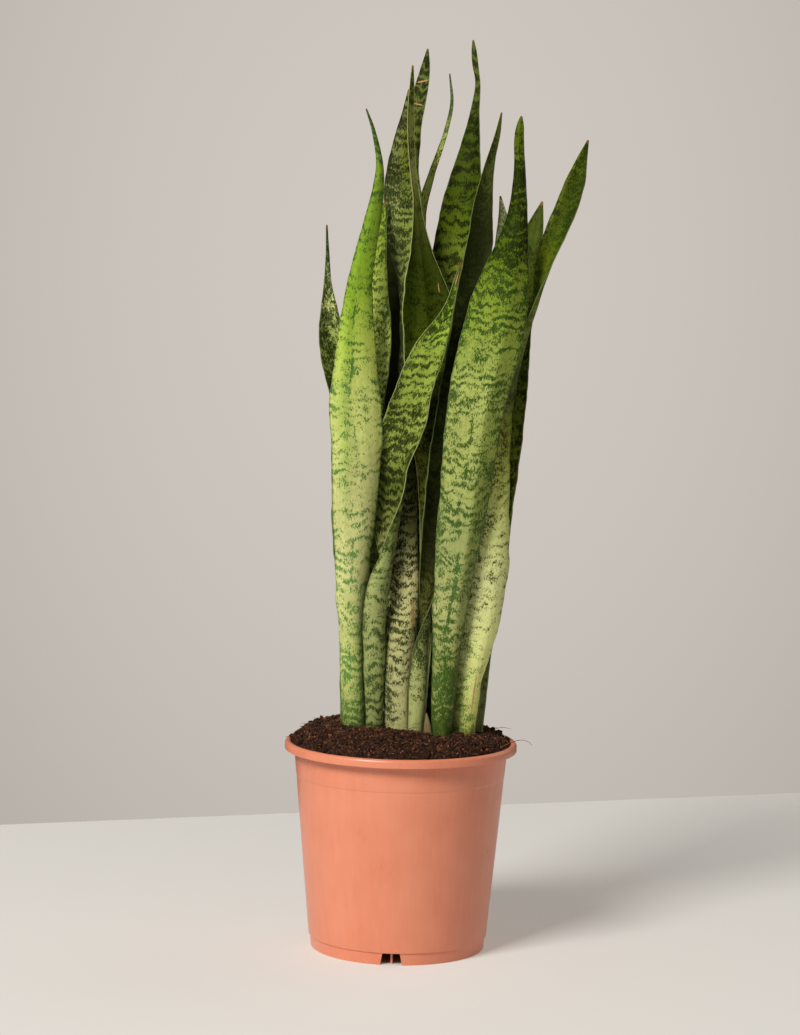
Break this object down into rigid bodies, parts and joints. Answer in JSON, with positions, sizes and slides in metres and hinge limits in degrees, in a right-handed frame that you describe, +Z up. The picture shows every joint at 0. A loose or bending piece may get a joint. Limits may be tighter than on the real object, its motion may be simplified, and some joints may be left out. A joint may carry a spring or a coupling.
{
  "type": "potted snake plant",
  "caption": "Bunch of tall stiff banded snake plant leaves standing in peat in a round tapered plastic nursery pot with a folded rim.",
  "frame": {"origin": "middle of the pot's foot plane, on the flat pad under the pot's floor, on the pot's axis", "axes": "+Z up along the pot's axis, -Y towards the front of the plant, +X to the plant's right seen from the front"},
  "size_m": [0.2598, 0.21, 0.819],
  "materials": {
    "terracotta_plastic": "satin",
    "potting_soil": "matte",
    "leaf_pale_green": "satin",
    "leaf_dark_green": "satin",
    "dry_sheath": "matte"
  },
  "bodies": {
    "root": {"pot": "terracotta_plastic", "soil": "potting_soil", "leaf_front_left": "leaf_pale_green", "leaf_far_left": "leaf_pale_green", "leaf_behind_left": "leaf_pale_green", "leaf_front_channel": "leaf_pale_green", "leaf_front_mottled": "leaf_pale_green", "leaf_middle_spike": "leaf_dark_green", "leaf_back_left": "leaf_dark_green", "leaf_back_thin": "leaf_dark_green", "leaf_tallest": "leaf_dark_green", "leaf_twisted": "leaf_pale_green", "leaf_back_right": "leaf_dark_green", "leaf_front_right": "leaf_pale_green", "leaf_right_dark": "leaf_dark_green", "leaf_far_right": "leaf_pale_green", "dry_sheath": "dry_sheath"}
  },
  "joints": []
}
